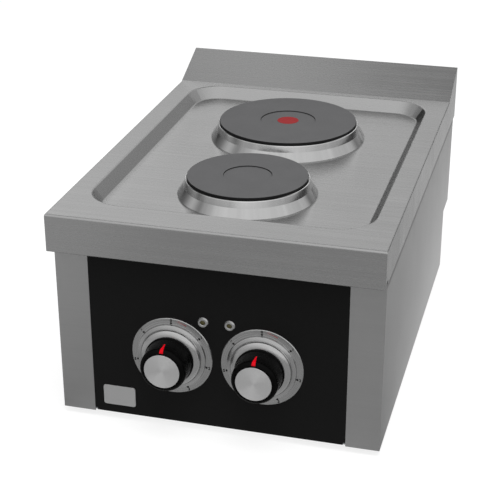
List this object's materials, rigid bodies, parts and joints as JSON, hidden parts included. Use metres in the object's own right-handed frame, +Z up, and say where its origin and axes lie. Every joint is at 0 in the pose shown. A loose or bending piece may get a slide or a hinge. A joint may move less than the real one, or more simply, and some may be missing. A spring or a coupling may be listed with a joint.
{
  "type": "hot plate burner",
  "caption": "Countertop electric boiling top: pressed stainless worktop with a spill well, round cast-iron hotplates on overflow rims, black fascia with rotary knobs, dials and pilot lights.",
  "frame": {"origin": "centre of the bounding box on the surface that the feet stand on", "axes": "+Z up, +Y from the control front to the back, +X to the right seen from the front"},
  "size_m": [0.39, 0.6054, 0.298],
  "materials": {
    "brushed_worktop": "fine brushed stainless",
    "brushed_housing": "fine brushed stainless",
    "plain_sheet": "mill-finish sheet",
    "polished_rim": "polished stainless",
    "cast_iron": "fine-turned, matte, heat-resistant coating",
    "black_fascia": "satin black",
    "dial_metal": "turned and brushed",
    "knob_black": "glossy black",
    "cap_metal": "brushed disc",
    "pointer_red": "glossy red",
    "pilot_chrome": "bright",
    "pilot_amber": "dark amber lens",
    "switch_plastic": "moulded",
    "ceramic": "unglazed ceramic",
    "zinc_steel": "zinc plated",
    "brass": "plain",
    "gland_nylon": "moulded nylon",
    "foot_rubber": "matte"
  },
  "bodies": {
    "housing": {"worktop": "brushed_worktop", "left_side_panel": "brushed_housing", "right_side_panel": "brushed_housing", "control_fascia": "black_fascia", "switch_panel": "plain_sheet", "base_tray": "plain_sheet", "rear_panel": "brushed_housing", "front_left_foot": "foot_rubber", "front_right_foot": "foot_rubber", "rear_left_foot": "foot_rubber", "rear_right_foot": "foot_rubber", "foot_screws": "zinc_steel", "foot_nuts": "zinc_steel", "front_plate": "cast_iron", "rear_plate": "cast_iron", "front_overflow_rim": "polished_rim", "rear_overflow_rim": "polished_rim", "front_plate_cover": "plain_sheet", "rear_plate_cover": "plain_sheet", "front_plate_stud": "zinc_steel", "rear_plate_stud": "zinc_steel", "front_clamp_bridge": "zinc_steel", "rear_clamp_bridge": "zinc_steel", "front_clamp_nut": "zinc_steel", "rear_clamp_nut": "zinc_steel", "front_terminal_block": "ceramic", "rear_terminal_block": "ceramic", "left_switch": "switch_plastic", "right_switch": "switch_plastic", "switch_screws": "zinc_steel", "left_dial": "dial_metal", "right_dial": "dial_metal", "left_pilot_bezel": "pilot_chrome", "right_pilot_bezel": "pilot_chrome", "left_pilot_lens": "pilot_amber", "right_pilot_lens": "pilot_amber", "left_lamp_holder": "switch_plastic", "right_lamp_holder": "switch_plastic", "mains_terminal_block": "ceramic", "cable_gland": "gland_nylon", "gland_nut": "gland_nylon", "earth_stud": "zinc_steel", "earth_nuts": "brass", "base_screws": "zinc_steel", "rear_screws": "zinc_steel"},
    "left_control": {"left_knob": "knob_black", "left_knob_cap": "cap_metal", "left_knob_pointer": "pointer_red", "left_spindle": "zinc_steel"},
    "right_control": {"right_knob": "knob_black", "right_knob_cap": "cap_metal", "right_knob_pointer": "pointer_red", "right_spindle": "zinc_steel"}
  },
  "joints": [
    {"name": "left_knob_turn", "type": "hinge", "parent": "housing", "child": "left_control", "pos_m": [-0.054, -0.28225, 0.098], "axis": [0, 1, 0], "continuous": true},
    {"name": "right_knob_turn", "type": "hinge", "parent": "housing", "child": "right_control", "pos_m": [0.054, -0.28225, 0.098], "axis": [0, 1, 0], "continuous": true}
  ]
}
